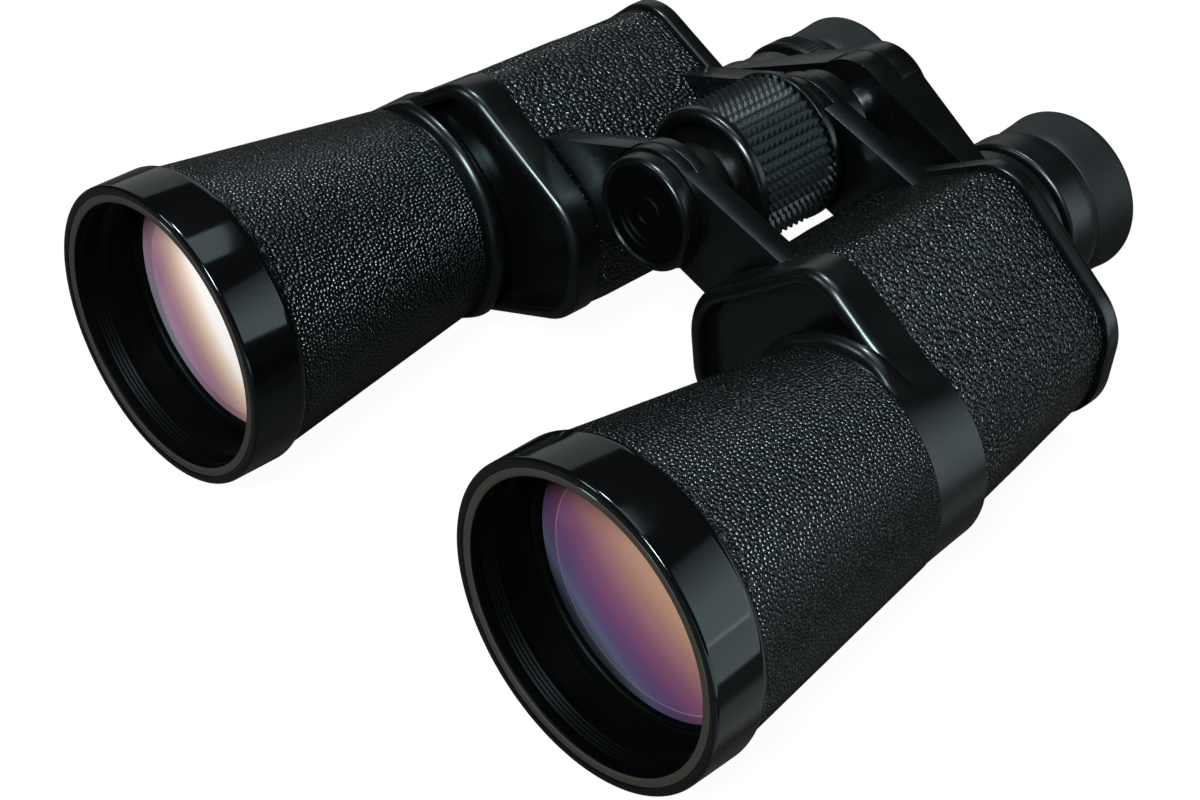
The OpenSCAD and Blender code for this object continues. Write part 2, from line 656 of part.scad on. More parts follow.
// The grip's teeth run along the wheel
module wheel_grip() {
    teeth = 44;
    color("#1c1d1e") place() slab(wheel_y + rim_l + fit, wheel_end - rim_l - fit) difference() {
        translate(hinge_axis) polygon([for (i = [0 : 2 * teeth - 1])
            polar([0, 0], wheel_core_r + (i % 2 == 0 ? grip_tooth + 0.2 : 0.2), 180 * i / teeth)]);
        translate(hinge_axis) circle(r = wheel_core_r - 0.8 + fit);
    }
}

module focus_spindle() color("#8c8e92") place() difference() {
    bar(hinge_axis, spindle_r, wheel_y + 1, boss_end - 0.6);
    translate([-spindle_r - 1, pin_y, hinge_z]) rotate([0, 90, 0])
        cylinder(r = pin_r + fit, h = 2 * spindle_r + 2);
    bar(hinge_axis, screw_thread_r + fit, boss_end - screw_thread_l - 1, boss_end);
}

module drive_pin() color("#8c8e92") place() translate([-pin_half, pin_y, hinge_z]) rotate([0, 90, 0])
    cylinder(r = pin_r, h = 2 * pin_half);

// The screw in the end of the spindle that keeps both bridge arms on it
module bridge_screw() color("#101112") place() difference() {
    turned(hinge_axis, [
        [0, boss_end - screw_thread_l], [screw_thread_r, boss_end - screw_thread_l],
        [screw_thread_r, boss_end + 0.1], [screw_disc_r, boss_end + 0.1],
        [screw_disc_r, boss_end + 0.9], [screw_disc_r - 0.7, boss_end + 1.5], [0, boss_end + 1.5]
    ]);
    translate([-screw_disc_r + 2, boss_end + 0.9, hinge_z - 0.5]) cube([2 * screw_disc_r - 4, 2, 1]);
}

left() housing();  // left_housing
left() hinge_arm(front_arm_y, true, tube_fit_r);  // left_front_arm
left() hinge_arm(rear_arm_y, false, tube_fit_r);  // left_rear_arm
left() rear_cover();  // left_rear_cover
left() cover_screws();  // left_cover_screws
left() prism_shelf();  // left_prism_shelf
left() front_prism();  // left_front_prism
left() rear_prism();  // left_rear_prism
left() prism_clips();  // left_prism_clips
left() body_leatherette();  // left_body_leatherette
left() objective_tube();  // left_objective_tube
left() tube_leatherette();  // left_tube_leatherette
left() front_ring();  // left_front_ring
left() objective_cell();  // left_objective_cell
left() crown_lens();  // left_crown_lens
left() flint_lens();  // left_flint_lens
left() lens_ring();  // left_lens_ring
left() eyepiece_guide();  // left_eyepiece_guide
left() bridge_arm(true);  // left_bridge_arm
left() ocular_tube();  // left_ocular_tube
left() field_lens();  // left_field_lens
left() lens_carrier();  // left_lens_carrier
left() eye_lens();  // left_eye_lens
left() left_ring();  // left_eyepiece_ring
left() eyecup();  // left_eyecup
right() housing();  // right_housing
right() hinge_arm(front_arm_y, false, tube_running_r);  // right_front_arm
right() hinge_arm(rear_arm_y, true, tube_running_r);  // right_rear_arm
right() rear_cover();  // right_rear_cover
right() cover_screws();  // right_cover_screws
right() prism_shelf();  // right_prism_shelf
right() front_prism();  // right_front_prism
right() rear_prism();  // right_rear_prism
right() prism_clips();  // right_prism_clips
right() body_leatherette();  // right_body_leatherette
right() objective_tube();  // right_objective_tube
right() tube_leatherette();  // right_tube_leatherette
right() front_ring();  // right_front_ring
right() objective_cell();  // right_objective_cell
right() crown_lens();  // right_crown_lens
right() flint_lens();  // right_flint_lens
right() lens_ring();  // right_lens_ring
right() eyepiece_guide();  // right_eyepiece_guide
right() bridge_arm(false);  // right_bridge_arm
right() ocular_tube();  // right_ocular_tube
right() field_lens();  // right_field_lens
right() lens_carrier();  // right_lens_carrier
right() eye_lens();  // right_eye_lens
right() ribbed_ring();  // dioptre_ring
right() eyecup();  // right_eyecup
hinge_tube();
tension_nut();
hinge_cap();
wheel_spacer();
hinge_collar();
focus_wheel();
wheel_grip();
focus_spindle();
drive_pin();
bridge_screw();
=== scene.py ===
"""Looks for the porro-prism binoculars.

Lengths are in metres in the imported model's frame: +X towards the left barrel, +Y from the
objectives to the eyepieces, +Z up. Profiles are written in millimetres, as a radius from the
piece's own axis and a distance back from the front rims. The places and main sizes come from the
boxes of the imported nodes.
"""
import json
import math
from contextlib import contextmanager

import bmesh
import bpy
import numpy as np
from mathutils import Matrix, Vector

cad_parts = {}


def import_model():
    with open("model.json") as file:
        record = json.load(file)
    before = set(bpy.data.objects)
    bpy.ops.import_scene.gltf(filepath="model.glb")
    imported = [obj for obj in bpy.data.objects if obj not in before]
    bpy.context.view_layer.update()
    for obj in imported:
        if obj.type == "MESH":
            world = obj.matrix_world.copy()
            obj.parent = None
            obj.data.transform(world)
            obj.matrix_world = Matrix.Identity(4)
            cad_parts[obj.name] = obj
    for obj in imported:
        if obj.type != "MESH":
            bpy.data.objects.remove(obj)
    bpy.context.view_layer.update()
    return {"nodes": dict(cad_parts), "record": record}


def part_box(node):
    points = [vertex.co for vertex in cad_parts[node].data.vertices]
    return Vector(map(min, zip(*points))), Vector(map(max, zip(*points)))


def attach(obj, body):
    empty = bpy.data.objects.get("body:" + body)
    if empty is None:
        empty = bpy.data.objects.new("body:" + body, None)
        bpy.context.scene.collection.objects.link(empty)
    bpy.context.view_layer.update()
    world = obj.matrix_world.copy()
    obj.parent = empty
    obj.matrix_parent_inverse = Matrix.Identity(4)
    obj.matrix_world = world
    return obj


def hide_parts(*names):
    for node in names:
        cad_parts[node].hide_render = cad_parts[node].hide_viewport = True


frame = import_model()

MM = 0.001
SIDES = {"left": 1, "right": -1}
TURNED_SIDES = 256
OUTLINE_POINTS = 320
SHARP_ANGLE = 35


# ---- places ----
def axis_of(node):
    """The X and Z of the axis of a node turned about a line along Y."""
    low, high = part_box(node)
    return (low.x + high.x) / 2, (low.z + high.z) / 2


def front_of(node):
    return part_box(node)[0].y


def rear_of(node):
    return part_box(node)[1].y


def radius_of(node):
    low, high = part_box(node)
    return (high.x - low.x) / 2


RIM = front_of("left_front_ring")


def along(node):
    """Where a node starts and ends along the barrels, in millimetres from the rims."""
    return (front_of(node) - RIM) / MM, (rear_of(node) - RIM) / MM


# ---- surfaces ----
def linked(name, data):
    """A new object in the scene."""
    made = bpy.data.objects.new(name, data)
    bpy.context.scene.collection.objects.link(made)
    return made


@contextmanager
def opened(mesh):
    """The mesh opened for editing, and written back afterwards."""
    work = bmesh.new()
    work.from_mesh(mesh)
    yield work
    work.to_mesh(mesh)
    work.free()


def smooth(mesh, sharp=SHARP_ANGLE):
    """Smooth faces, with the edges left sharp where they turn by more than so many degrees."""
    mesh.shade_smooth()
    mesh.set_sharp_from_angle(angle=math.radians(sharp))


def settle(piece):
    """The modifiers of the piece made part of its mesh."""
    evaluated = piece.evaluated_get(bpy.context.evaluated_depsgraph_get())
    mesh = bpy.data.meshes.new_from_object(evaluated)
    piece.modifiers.clear()
    piece.data = mesh


def finished(name, points, faces, finishes, face_finish=None, sharp=SHARP_ANGLE, around=None):
    """One object from arrays of points and faces, with its doubles merged and faces outwards.
    around is each point's way round the piece in metres, for finishes laid on like cloth."""
    mesh = bpy.data.meshes.new(name)
    mesh.from_pydata(points.tolist(), [], faces.tolist())
    if around is not None:
        way_round = mesh.attributes.new("around", "FLOAT", "POINT")
        way_round.data.foreach_set("value", around.astype(np.float32))
    for finish in finishes:
        mesh.materials.append(finish)
    if face_finish is not None:
        mesh.polygons.foreach_set("material_index", face_finish.astype(np.int32))
    with opened(mesh) as work:
        bmesh.ops.remove_doubles(work, verts=work.verts, dist=1e-7)
        bmesh.ops.recalc_face_normals(work, faces=work.faces)
    smooth(mesh, sharp)
    return linked(name, mesh)


def rounded(corners, steps):
    """A profile whose corners (r, y, roundness) are each a quadratic curve between points on its
    two sides, roundness away from the corner. A corner without roundness stays sharp."""
    corner = np.array([c[:2] for c in corners], float)
    reach = np.array([c[2] if len(c) > 2 else 0.0 for c in corners])
    before = np.roll(corner, 1, 0) - corner
    after = np.roll(corner, -1, 0) - corner
    long_before = np.linalg.norm(before, axis=1)
    long_after = np.linalg.norm(after, axis=1)
    reach = np.minimum(reach, 0.49 * np.minimum(long_before, long_after))
    start = corner + before * (reach / long_before)[:, None]
    end = corner + after * (reach / long_after)[:, None]
    t = np.linspace(0, 1, steps)[None, :, None]
    curve = start[:, None] * (1 - t) ** 2 + corner[:, None] * 2 * t * (1 - t) + end[:, None] * t ** 2
    points = curve.reshape(-1, 2)
    owner = np.repeat(np.arange(len(corner)), steps)
    apart = np.linalg.norm(points - np.roll(points, 1, 0), axis=1) > 1e-4
    return points[apart], owner[apart]


def grid_faces(rows, columns, rows_close=True):
    """Four-sided faces of a grid whose columns close on themselves, and its rows too if they say."""
    row = np.arange(rows if rows_close else rows - 1)[:, None]
    column = np.arange(columns)[None, :]
    next_row = (row + 1) % rows
    next_column = (column + 1) % columns
    return np.stack([
        row * columns + column, row * columns + next_column,
        next_row * columns + next_column, next_row * columns + column
    ], axis=-1).reshape(-1, 4)


def turned(name, axis, corners, finishes, bands=(), sides=TURNED_SIDES, waves=None, steps=6):
    """A closed profile carried once round an axis along Y: each point (r, y) of the profile makes
    the circle (x + r cos a, rim + y, z + r sin a). waves(r, y, a) may add to r. Each band is the
    numbers of some corners, and the faces between them take the next finish."""
    profile, owner = rounded(corners, steps)
    angle = np.linspace(-0.5 * math.pi, 1.5 * math.pi, sides, endpoint=False)[None, :]
    r = profile[:, :1] * np.ones_like(angle)
    y = profile[:, 1:] * np.ones_like(angle)
    if waves:
        r = r + waves(r, y, angle)
    points = np.stack([
        axis[0] + r * MM * np.cos(angle), RIM + y * MM, axis[1] + r * MM * np.sin(angle)
    ], axis=-1).reshape(-1, 3)
    chosen = np.zeros(len(owner), int)
    for index, band in enumerate(bands):
        inside = np.isin(owner, list(band))
        chosen[inside & np.roll(inside, -1)] = index + 1
    around = (angle + 0.5 * math.pi) * profile[:, 0].mean() * MM * np.ones_like(r)
    return finished(name, points, grid_faces(len(profile), sides), finishes,
                    face_finish=np.repeat(chosen, sides), around=around.ravel())


def joined(name, pieces):
    """Several closed shells made one object."""
    first, *others = pieces
    work = bmesh.new()
    for piece in pieces:
        work.from_mesh(piece.data)
    work.to_mesh(first.data)
    work.free()
    for piece in others:
        bpy.data.objects.remove(piece)
    first.name = name
    return first


def eased(node, name, finish, width):
    """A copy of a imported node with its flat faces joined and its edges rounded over."""
    mesh = frame["nodes"][node].data.copy()
    mesh.materials.clear()
    mesh.materials.append(finish)
    with opened(mesh) as work:
        bmesh.ops.remove_doubles(work, verts=work.verts, dist=2e-6)
        bmesh.ops.dissolve_limit(work, angle_limit=math.radians(0.6), verts=work.verts, edges=work.edges)
        for face in work.faces:
            face.material_index = 0
    piece = linked(name, mesh)
    if width:
        bevel = piece.modifiers.new("eased edges", "BEVEL")
        bevel.width = width * MM
        bevel.segments = 3
        bevel.limit_method = "ANGLE"
        bevel.angle_limit = math.radians(38)
        bevel.use_clamp_overlap = True
        settle(piece)
    smooth(piece.data, 30)
    return piece


def placed(piece, body, node):
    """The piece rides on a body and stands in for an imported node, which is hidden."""
    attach(piece, body)
    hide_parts(node)


# ---- finishes ----
COOL = (0.70, 0.94, 1.0, 1)
WHITE = (1, 1, 1, 1)


class Finish:
    """A material with one Principled shader, and short ways to add nodes to it."""

    def __init__(self, name, colour, roughness, **sockets):
        self.material = bpy.data.materials.new(name)
        self.material.use_nodes = True
        self.tree = self.material.node_tree
        self.shader = self.tree.nodes["Principled BSDF"]
        self.give("Base Color", (*colour, 1))
        self.give("Roughness", roughness)
        for socket, value in sockets.items():
            self.give(socket.replace("_", " "), value)
        self.place = self.node("ShaderNodeTexCoord").outputs["Object"]

    def node(self, kind, inputs=None, **settings):
        made = self.tree.nodes.new(kind)
        for setting, value in settings.items():
            setattr(made, setting, value)
        for socket, value in (inputs or {}).items():
            self.feed(made.inputs[socket], value)
        return made

    def feed(self, socket, value):
        """A value, or another node's result, put into a socket."""
        if isinstance(value, bpy.types.NodeSocket):
            self.tree.links.new(value, socket)
        else:
            socket.default_value = value

    def give(self, socket, value):
        """The same for one of the shader's own sockets."""
        self.feed(self.shader.inputs[socket], value)

    def noise(self, scale, detail=2.0, roughness=0.5):
        made = self.node("ShaderNodeTexNoise", {"Vector": self.place, "Scale": scale,
                                                "Detail": detail, "Roughness": roughness})
        return made.outputs["Fac"]

    def mapped(self, value, low, high, to_low, to_high, soft=False):
        made = self.node("ShaderNodeMapRange", {"Value": value, "From Min": low, "From Max": high,
                                                "To Min": to_low, "To Max": to_high})
        made.interpolation_type = "SMOOTHSTEP" if soft else "LINEAR"
        return made.outputs["Result"]

    def reckoned(self, operation, a, b):
        return self.node("ShaderNodeMath", {0: a, 1: b}, operation=operation).outputs["Value"]

    def sum(self, a, b):
        return self.reckoned("ADD", a, b)

    def product(self, a, b):
        return self.reckoned("MULTIPLY", a, b)

    def larger(self, a, b):
        return self.reckoned("MAXIMUM", a, b)

    def vector(self, operation, a, b, result="Vector"):
        return self.node("ShaderNodeVectorMath", {0: a, 1: b}, operation=operation).outputs[result]

    def mixed(self, share, a, b):
        """From colour a at share 0 to colour b at share 1. A colour mix's own sockets are 6 and 7."""
        made = self.node("ShaderNodeMix", data_type="RGBA")
        self.feed(made.inputs[0], share)
        self.feed(made.inputs[6], (*a, 1) if isinstance(a, tuple) else a)
        self.feed(made.inputs[7], (*b, 1) if isinstance(b, tuple) else b)
        return made.outputs[2]

    def relief(self, height, depth):
        return self.node("ShaderNodeBump", {"Height": height, "Distance": depth * MM}).outputs["Normal"]

    def ramp(self, value, stops):
        made = self.node("ShaderNodeValToRGB", {"Fac": value})
        elements = made.color_ramp.elements
        for element, (position, colour) in zip(elements, (stops[0], stops[-1])):
            element.position = position
            element.color = (*colour, 1)
        for position, colour in stops[1:-1]:
            elements.new(position).color = (*colour, 1)
        return made.outputs["Color"]


def enamel(name, colour, roughness, peel=0.01, wear=0.05, sheen=COOL, gloss=0.5):
    """Black enamel on a casting: a faint orange peel, patches a little rougher than others, and a
    cool cast to what it reflects."""
    f = Finish(name, colour, roughness, Specular_Tint=sheen, Specular_IOR_Level=gloss)
    f.give("Roughness", f.mapped(f.noise(90, 4), 0.3, 0.7, roughness - wear, roughness + wear))
    f.give("Normal", f.relief(f.noise(700), peel))
    return f.material


def pebbled(name, grain, depth, sway, roundness, scatter):
    """Pebbled leatherette: round grains with creases between them, each grain smoother on top. The
    grains lie in a plane rolled round the piece, so that every one is whole. grain is their size
    and depth their height, sway bends their rows by a share of a grain, roundness is the dome's
    share in the relief, and scatter is how far the grains stray from rows."""
    f = Finish(name, (0.003, 0.0033, 0.0035), 0.3, Specular_Tint=COOL)
    along_piece = f.node("ShaderNodeSeparateXYZ", {"Vector": f.place}).outputs["Y"]
    around = f.node("ShaderNodeAttribute", attribute_name="around").outputs["Fac"]
    flat = f.node("ShaderNodeCombineXYZ", {"X": around, "Y": along_piece}).outputs["Vector"]
    drift = f.node("ShaderNodeTexNoise", {"Vector": flat, "Scale": 520.0, "Detail": 1.0})
    centred = f.vector("SUBTRACT", drift.outputs["Color"], (0.5, 0.5, 0.5))
    pushed = f.node("ShaderNodeVectorMath", {0: centred, "Scale": grain * MM * sway}, operation="SCALE")
    warped = f.vector("ADD", flat, pushed.outputs["Vector"])

    cells = {"Vector": warped, "Scale": 1 / (grain * MM), "Randomness": scatter}
    middle = f.node("ShaderNodeTexVoronoi", cells, voronoi_dimensions="2D")
    rim = f.node("ShaderNodeTexVoronoi", cells, voronoi_dimensions="2D", feature="DISTANCE_TO_EDGE")
    dome = f.mapped(middle.outputs["Distance"], 0.0, 0.66, 1.0, 0.0, soft=True)
    top = f.mapped(rim.outputs["Distance"], 0.0, 0.17, 0.0, 1.0, soft=True)
    grains = f.sum(f.product(dome, roundness), f.product(top, 1 - roundness))
    swell = f.product(f.noise(300), 0.15)
    tooth = f.product(f.noise(2600), 0.04)
    f.give("Normal", f.relief(f.sum(f.sum(grains, swell), tooth), depth))

    f.give("Roughness", f.mapped(dome, 0, 1, 0.34, 0.12))
    side_on = f.node("ShaderNodeLayerWeight").outputs["Facing"]
    # Painted shade in the creases: their gloss is turned almost off. The gloss also dies where the leather
    # is seen side on.
    f.give("Specular IOR Level",
           f.product(f.mapped(top, 0.1, 1, 0.03, 0.8), f.mapped(side_on, 0.62, 0.97, 1.0, 0.08)))
    # Painted shade: the creases are coloured darker than the grain tops.
    f.give("Base Color", f.mixed(top, (0.0004, 0.0004, 0.0005), (0.0022, 0.0025, 0.0026)))
    return f.material


def rubber(name, colour, roughness, depth, gloss):
    """Matte rubber: a fine even tooth and a dusty bloom in patches."""
    f = Finish(name, colour, roughness, Specular_Tint=COOL, Specular_IOR_Level=gloss)
    bloom = f.mapped(f.noise(60, 5, 0.6), 0.35, 0.7, 0, 1)
    f.give("Base Color", f.mixed(bloom, colour, tuple(1.6 * c for c in colour)))
    f.give("Normal", f.relief(f.noise(1800), depth))
    return f.material


def metal(name, colour, roughness):
    """Bare steel or alloy with a fine ground grain."""
    f = Finish(name, colour, roughness, Metallic=1.0)
    f.give("Roughness", f.mapped(f.noise(400, 3), 0.3, 0.7, roughness - 0.06, roughness + 0.1))
    f.give("Normal", f.relief(f.noise(1500), 0.004))
    return f.material


def coated_lens_with_painted_reflection(name, axis, radius, lean, tints):
    """The objective's coating, with the reflection of the surroundings painted into its colour: the
    colour runs across the glass through the tints, each at a share of the way along lean, from the
    low side near the hinge to the high outer side, and the pale tints are painted reflection. A thin
    pale circle, a little off centre, is a painted highlight where the second glass begins, and
    outside it the colour is painted deeper."""
    second_r, second_off = 22.4 * MM, 1.6 * MM
    f = Finish(name, (0.1, 0.05, 0.1), 0.08, Specular_IOR_Level=0.12)
    offset = f.vector("SUBTRACT", f.place, (axis[0], 0, axis[1]))
    from_centre = f.vector("MULTIPLY", offset, (1, 0, 1))
    across = f.vector("DOT_PRODUCT", from_centre, lean, "Value")
    # Painted reflection: the ramp gives the coating's colour with the reflection of the surroundings
    # painted in.
    tint = f.ramp(f.mapped(across, -radius, radius, 0, 1), tints)
    # Painted highlight on a pale circle where the second glass begins, and a deeper colour painted outside
    # it.
    from_second = f.vector("DISTANCE", from_centre, (second_off, 0, 0), "Value")
    past = f.reckoned("SUBTRACT", from_second, second_r)
    beyond = f.mapped(past, -0.1 * MM, 0.2 * MM, 0, 0.3, soft=True)
    line = f.mapped(f.reckoned("ABSOLUTE", past, 0), 0.05 * MM, 0.28 * MM, 0.3, 0, soft=True)
    deeper = f.mixed(beyond, tint, (0.02, 0.012, 0.03))
    f.give("Base Color", f.mixed(line, deeper, (0.5, 0.35, 0.4)))
    f.give("Roughness", f.mapped(f.noise(60), 0.3, 0.7, 0.06, 0.1))
    return f.material


def clear_glass(name, colour):
    """Polished glass inside the barrels."""
    f = Finish(name, colour, 0.03, Transmission_Weight=0.6)
    f.give("Roughness", f.mapped(f.noise(40), 0.3, 0.7, 0.03, 0.06))
    return f.material


casting_black = enamel("satin black casting", (0.0012, 0.0014, 0.0015), 0.28)
ring_black = enamel("gloss black ring", (0.0016, 0.0018, 0.002), 0.09, peel=0.0008, wear=0.02)
lip_brown = enamel("worn ring lip", (0.029, 0.028, 0.024), 0.5, peel=0.006, sheen=WHITE)
bore_black = enamel("dead black bore", (0.0004, 0.0004, 0.0004), 0.5, gloss=0.07)
tube_black = enamel("matte black tube", (0.0008, 0.0009, 0.0009), 0.5, gloss=0.25)
ocular_black = enamel("satin black ocular", (0.0016, 0.0018, 0.002), 0.34)
wheel_black = enamel("satin black wheel", (0.0012, 0.0014, 0.0015), 0.27, peel=0.005)
tube_leather = pebbled("pebbled leatherette of the tubes", 0.84, 0.5, 0.3, 0.9, 0.75)
body_leather = pebbled("pebbled leatherette of the housings", 1.02, 0.42, 0.8, 0.7, 0.85)
grip_black = rubber("grip rubber", (0.0016, 0.0018, 0.002), 0.3, depth=0.004, gloss=1.5)
eyecup_black = rubber("eyecup rubber", (0.0035, 0.004, 0.0042), 0.52, depth=0.02, gloss=0.35)
dark_steel = metal("blackened screw steel", (0.06, 0.06, 0.065), 0.4)
spring_steel = metal("spring steel", (0.4, 0.41, 0.43), 0.3)
hinge_steel = metal("ground hinge steel", (0.42, 0.43, 0.45), 0.3)
shelf_alloy = metal("dull shelf alloy", (0.2, 0.2, 0.21), 0.5)
prism_glass = clear_glass("prism glass", (0.8, 0.9, 0.9))
eye_coating = clear_glass("eye lens coating", (0.05, 0.03, 0.07))

NODE_FINISH = {
    "satin_black_casting": casting_black, "leatherette": body_leather,
    "gloss_black_ring": ring_black, "matte_black_tube": tube_black,
    "satin_black_ocular": ocular_black, "shelf_alloy": shelf_alloy, "dark_steel": dark_steel,
    "spring_steel": spring_steel, "hinge_steel": hinge_steel, "prism_glass": prism_glass,
    "coated_glass": prism_glass, "wheel_plastic": wheel_black, "grip_rubber": grip_black,
    "eyecup_rubber": eyecup_black
}
for part in frame["record"]["subparts"]:
    for slot in frame["nodes"][part["node"]].material_slots:
        slot.material = NODE_FINISH[part["material_slot"]]


# ---- objectives ----
RING_BORE, RING_OUT = 26.75, radius_of("left_front_ring") / MM
RING_L = along("left_front_ring")[1]
THREAD_R = RING_BORE + 1.5
LENS_EDGE = radius_of("left_crown_lens") / MM
LENS_Y = along("left_lens_ring")[1]
TUBE_R = radius_of("left_tube_leatherette") / MM
TUBE_END = along("left_tube_leatherette")[1]
TUBE_END_R = 22.65
LEATHER_T = 0.78


def ridges(r, depth, start, pitch, count):
    """Fine turned ridges in a bore: a saw-tooth of the given depth and pitch, from rear to front."""
    root = [(r + depth, start - i * pitch) for i in range(count)]
    crest = [(r, start - (i + 0.5) * pitch) for i in range(count)]
    return [point for pair in zip(root, crest) for point in pair]


def dome(curve, edge, y, way):
    """A spherical face from the axis out to its edge: y plus or minus the height of the sphere of
    radius curve over its edge."""
    r = np.linspace(0, edge, 24)
    height = np.sqrt(curve ** 2 - r ** 2) - math.sqrt(curve ** 2 - edge ** 2)
    return [(a, y + way * b) for a, b in zip(r, height)]


def front_ring(side, axis):
    """The gloss ring round the objective: a flat worn lip, a bead outside it, a plain land and a
    short taper, with fine ridges inside."""
    seat = RING_L - 4.1
    lip = [(RING_BORE, 0.55, 0.4), (RING_BORE + 0.5, 0.12, 0.3), (28.5, 0.12, 0.1)]
    outside = [
        (28.65, 0.3, 0.08), (28.9, 0.02, 0.2), (RING_OUT, 0, 1.25), (RING_OUT, 10.8, 0.7),
        (RING_OUT - 0.5, RING_L - 0.4, 0.3), (RING_OUT - 0.95, RING_L, 0.1)
    ]
    bore = [
        (THREAD_R, RING_L), (THREAD_R, seat), (RING_BORE, seat),
        *ridges(RING_BORE, depth=0.22, start=6.0, pitch=0.8, count=5)
    ]
    corners = lip + outside + bore
    bore_starts = len(lip) + len(outside)
    bands = range(len(lip)), (0, *range(bore_starts, len(corners)))
    return turned(f"{side}_gloss_ring", axis, corners, [ring_black, lip_brown, bore_black], bands, steps=8)


def objective_bore(side, axis):
    """The tube that carries the objective: a nose that sits in the ring, a cone under the
    leatherette, a neck in the housing, and a wider bore in front for the cell."""
    nose = [
        (RING_BORE + 0.7, 12.4, 0.2), (RING_BORE + 0.7, 8.3), (THREAD_R - 0.05, 8.3),
        (THREAD_R - 0.05, 12.35)
    ]
    outside = [(TUBE_R - 0.85, 12.35), (TUBE_END_R - 0.85, TUBE_END), (19.4, TUBE_END), (19.4, 71)]
    inside = [(17.8, 71), (17.8, 59.5), (25.5, 22.8), (26.4, 22.8), (26.4, 13), (27.4, 12.6)]
    return turned(f"{side}_objective_bore", axis, nose + outside + inside, [bore_black], steps=2)


def tube_covering(side, axis):
    """The leatherette round the tube: a cone with its edges rolled in."""
    start = RING_L + 0.15
    corners = [
        (TUBE_R - LEATHER_T, start), (TUBE_R - 0.3, start), (TUBE_R - 0.2, RING_L + 1.6, 0.8),
        (TUBE_END_R, TUBE_END, 0.25), (TUBE_END_R - LEATHER_T, TUBE_END)
    ]
    return turned(f"{side}_tube_leather", axis, corners, [tube_leather], steps=5)


def lens_retainer(side, axis):
    """The thin threaded ring that holds the objective in its cell."""
    start = LENS_Y - 1.58
    corners = [
        (LENS_EDGE - 0.6, LENS_Y - 0.2), (LENS_EDGE - 0.6, LENS_Y - 1.1, 0.1),
        (LENS_EDGE - 0.3, start, 0.1), (LENS_EDGE - 0.02, start), (LENS_EDGE - 0.02, LENS_Y)
    ]
    return turned(f"{side}_lens_retainer", axis, corners, [bore_black])


# Across each objective: the way its colour runs, and tints as a share of the way and a colour.
# The tints are the coating's colour with painted reflection of the surroundings in them.
COATING_AND_PAINTED_REFLECTION = {
    "left": ((0.62, 0, 0.78), [
        (0.05, (0.02, 0.03, 0.04)), (0.09, (0.05, 0.07, 0.09)), (0.15, (0.105, 0.12, 0.21)),
        (0.21, (0.105, 0.075, 0.17)), (0.29, (0.135, 0.06, 0.155)), (0.41, (0.2, 0.08, 0.145)),
        (0.54, (0.31, 0.155, 0.14)), (0.62, (0.38, 0.22, 0.155)), (0.82, (0.5, 0.32, 0.2))
    ]),
    "right": ((0.84, 0, 0.54), [
        (0.04, (0.38, 0.4, 0.48)), (0.12, (0.46, 0.29, 0.43)), (0.20, (0.4, 0.225, 0.32)),
        (0.28, (0.46, 0.275, 0.29)), (0.36, (0.61, 0.42, 0.35)), (0.43, (0.82, 0.65, 0.52)),
        (0.50, (1.0, 0.96, 0.92)), (0.70, (1.0, 0.99, 0.98))
    ])
}


def objective_glass(side, axis):
    """The front glass of the objective, domed on both faces, with its coating and painted reflection."""
    coating = coated_lens_with_painted_reflection(f"{side} objective coating and painted reflection", axis, LENS_EDGE * MM, *COATING_AND_PAINTED_REFLECTION[side])
    front = dome(118, LENS_EDGE, LENS_Y, -1)
    back = dome(96, LENS_EDGE, LENS_Y + 2.2, 1)
    return turned(f"{side}_objective_glass", axis, front + back[::-1], [coating])


for side in SIDES:
    objective_axis = axis_of(f"{side}_front_ring")
    barrel = f"{side}_barrel"
    placed(front_ring(side, objective_axis), barrel, f"{side}_front_ring")
    placed(objective_bore(side, objective_axis), barrel, f"{side}_objective_tube")
    placed(tube_covering(side, objective_axis), barrel, f"{side}_tube_leatherette")
    placed(lens_retainer(side, objective_axis), barrel, f"{side}_lens_ring")
    placed(objective_glass(side, objective_axis), barrel, f"{side}_crown_lens")


# ---- prism housings ----
OBJECTIVE_X, OBJECTIVE_Z = axis_of("left_front_ring")
EYE_X, EYE_Z = axis_of("left_eyecup")
EYE_STEP = (EYE_X - OBJECTIVE_X) / MM, (EYE_Z - OBJECTIVE_Z) / MM
REAR_Y, COVER_END = along("left_rear_cover")

# The shoulder is the housing's front, its smooth band ends where the leatherette begins, and the
# neck is the end of the tube, where the collar goes round it.
SHOULDER, BAND_END = 65, 74
NECK_R = 22.45

# The outline goes round five lobes at the front and five at the rear. Each is a centre, out and
# up from the objective axis, and a radius.
FRONT_LOBES = np.array([
    (0, 0, 21.4), (2.8, 1.5, 19.9), (-11.9, 22.2, 10.3),
    (EYE_STEP[0] + 0.65, EYE_STEP[1] + 3.6, 14.7), (EYE_STEP[0] - 2.35, EYE_STEP[1] - 2.3, 11.0)
])
REAR_LOBES = np.array([
    (0.8, -0.5, 13.0), (3.5, 6.0, 11.1), (-12.5, 21.9, 9.5),
    (EYE_STEP[0] + 0.65, EYE_STEP[1] + 6.2, 14.4), (EYE_STEP[0] - 2.35, EYE_STEP[1] - 2.3, 11.0)
])


